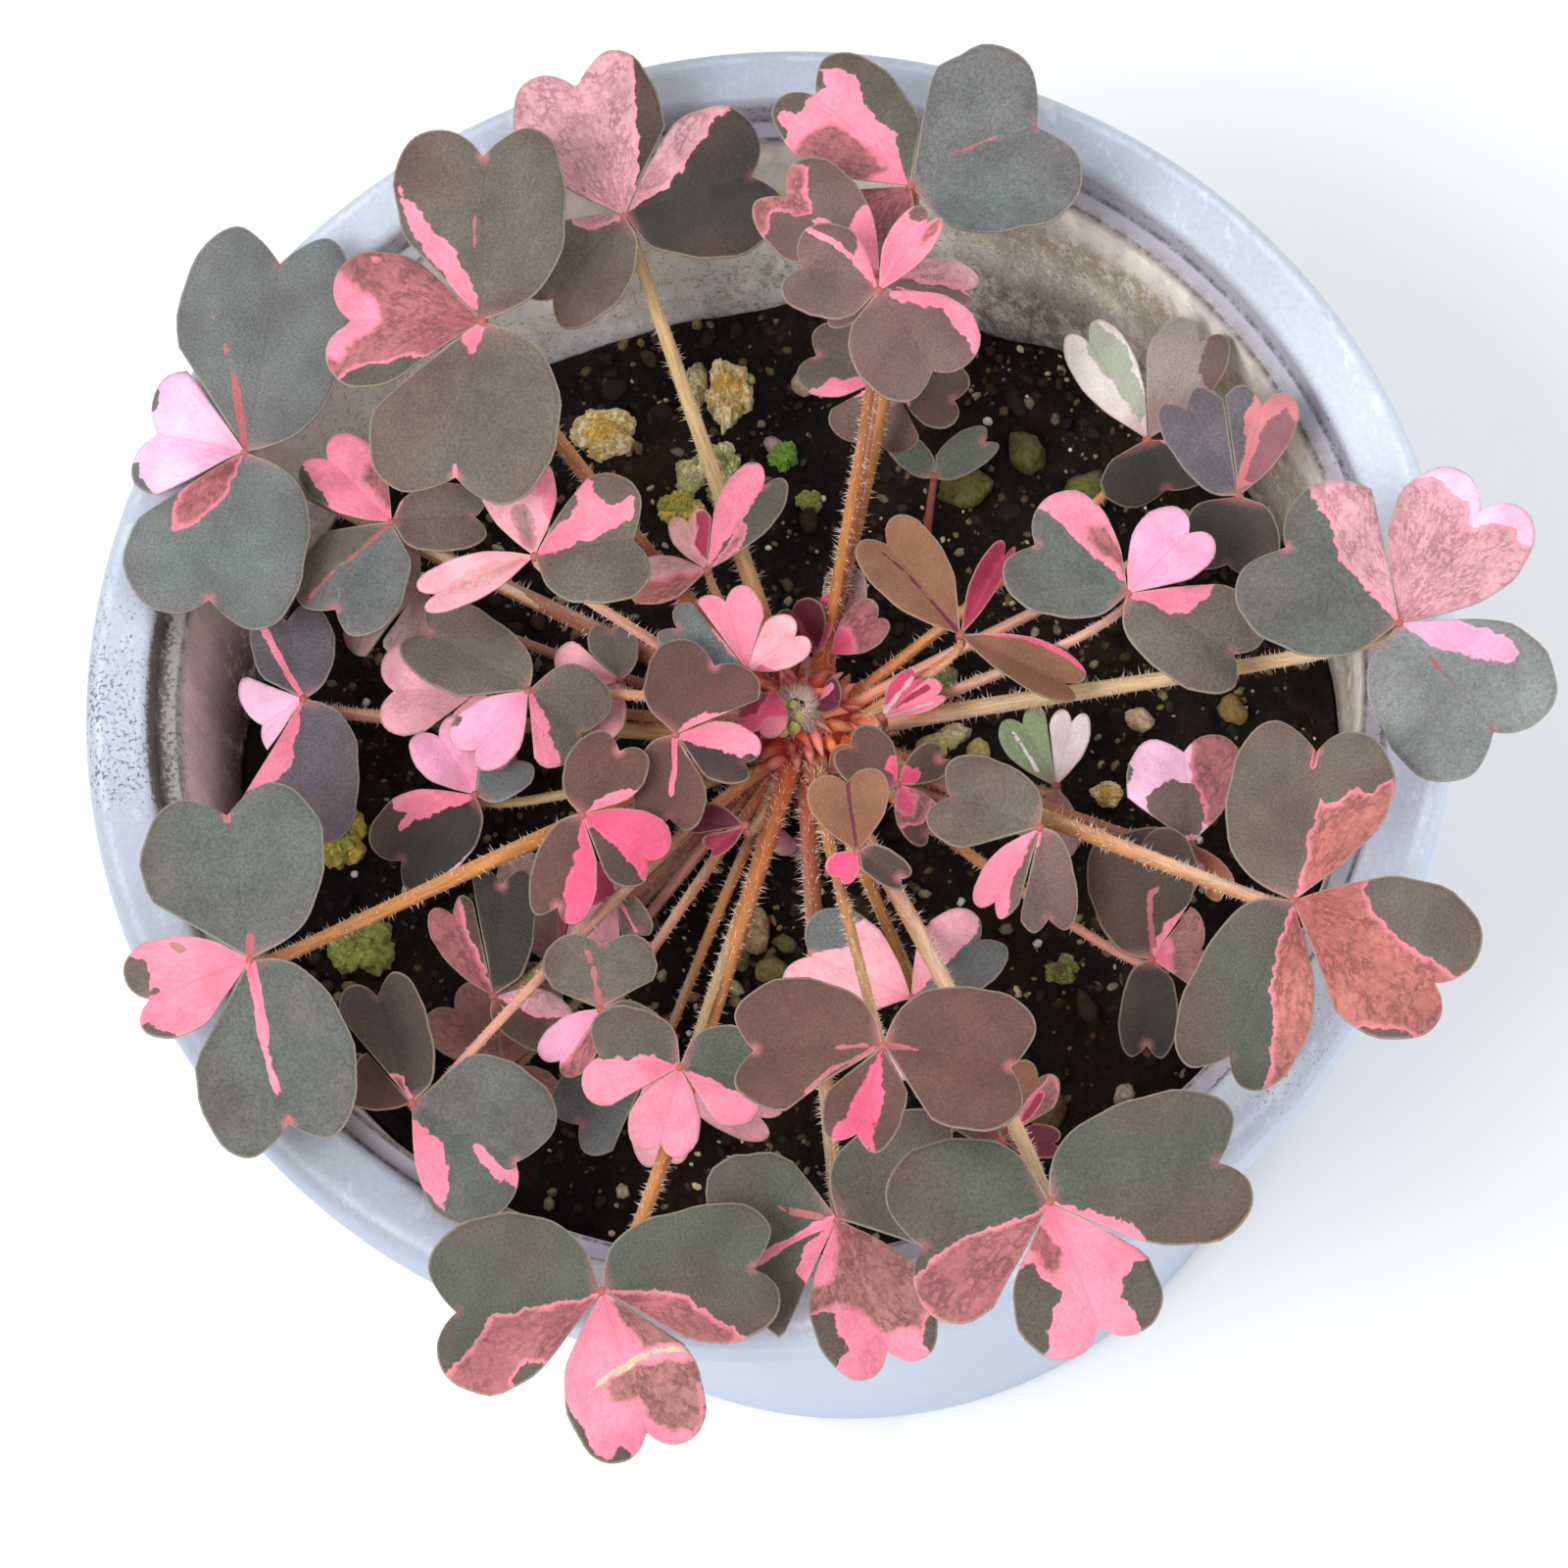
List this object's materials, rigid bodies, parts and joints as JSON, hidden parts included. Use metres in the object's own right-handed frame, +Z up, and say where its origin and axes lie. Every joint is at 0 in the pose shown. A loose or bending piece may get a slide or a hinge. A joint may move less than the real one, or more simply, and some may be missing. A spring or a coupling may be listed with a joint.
{
  "type": "potted purple shamrock",
  "caption": "Purple shamrock in a pale grey-blue plastic pot: heart-shaped slate, bronze and pink leaflets on hairy copper stalks above dark potting mix.",
  "frame": {"origin": "centre of the flat middle of the pot's underside", "axes": "+Z up through the pot's mouth, +X to the right, +Y to the back, where the mix lies lowest"},
  "size_m": [0.1277, 0.1329, 0.131],
  "materials": {
    "pot_plastic": "moulded, satin, scuffed and stained at the rim",
    "potting_mix": "moist, crumbly, with pale grains",
    "stalk_copper": "living stalk with fine hairs",
    "leaf_green": "matt grey-green leaf",
    "leaf_slate": "matt slate leaf",
    "leaf_bronze": "matt bronze-purple leaf",
    "leaf_pink": "matt pink leaf",
    "leaf_pale": "matt cream-pink leaf",
    "leaf_crimson": "young crimson leaf",
    "leaf_withered": "withered leaf"
  },
  "bodies": {
    "root": {"pot": "pot_plastic", "soil": "potting_mix", "rosette": "stalk_copper", "leaf_01": "leaf_green", "leaf_02": "leaf_green", "leaf_03": "leaf_pink", "leaf_04": "leaf_green", "leaf_05": "leaf_bronze", "leaf_06": "leaf_bronze", "leaf_07": "leaf_bronze", "leaf_08": "leaf_pink", "leaf_09": "leaf_pink", "leaf_10": "leaf_green", "leaf_11": "leaf_pink", "leaf_12": "leaf_slate", "leaf_13": "leaf_green", "leaf_14": "leaf_slate", "leaf_15": "leaf_pink", "leaf_16": "leaf_green", "leaf_17": "leaf_green", "leaf_18": "leaf_green", "leaf_19": "leaf_bronze", "leaf_20": "leaf_pink", "leaf_21": "leaf_green", "leaf_22": "leaf_bronze", "leaf_23": "leaf_green", "leaf_24": "leaf_green", "leaf_25": "leaf_slate", "leaf_26": "leaf_pale", "leaf_27": "leaf_green", "leaf_28": "leaf_pale", "leaf_29": "leaf_pale", "leaf_30": "leaf_bronze", "leaf_31": "leaf_bronze", "leaf_32": "leaf_pink", "leaf_33": "leaf_pink", "leaf_34": "leaf_pink", "leaf_35": "leaf_slate", "leaf_36": "leaf_pink", "leaf_37": "leaf_bronze", "leaf_38": "leaf_slate", "leaf_39": "leaf_pale", "leaf_40": "leaf_slate", "leaf_41": "leaf_crimson", "leaf_42": "leaf_crimson", "leaf_43": "leaf_withered", "leaf_44": "leaf_pale", "leaf_45": "leaf_pale", "leaf_46": "leaf_pink", "bud_1": "leaf_crimson", "bud_2": "leaf_crimson", "seedling": "leaf_green"}
  },
  "joints": []
}
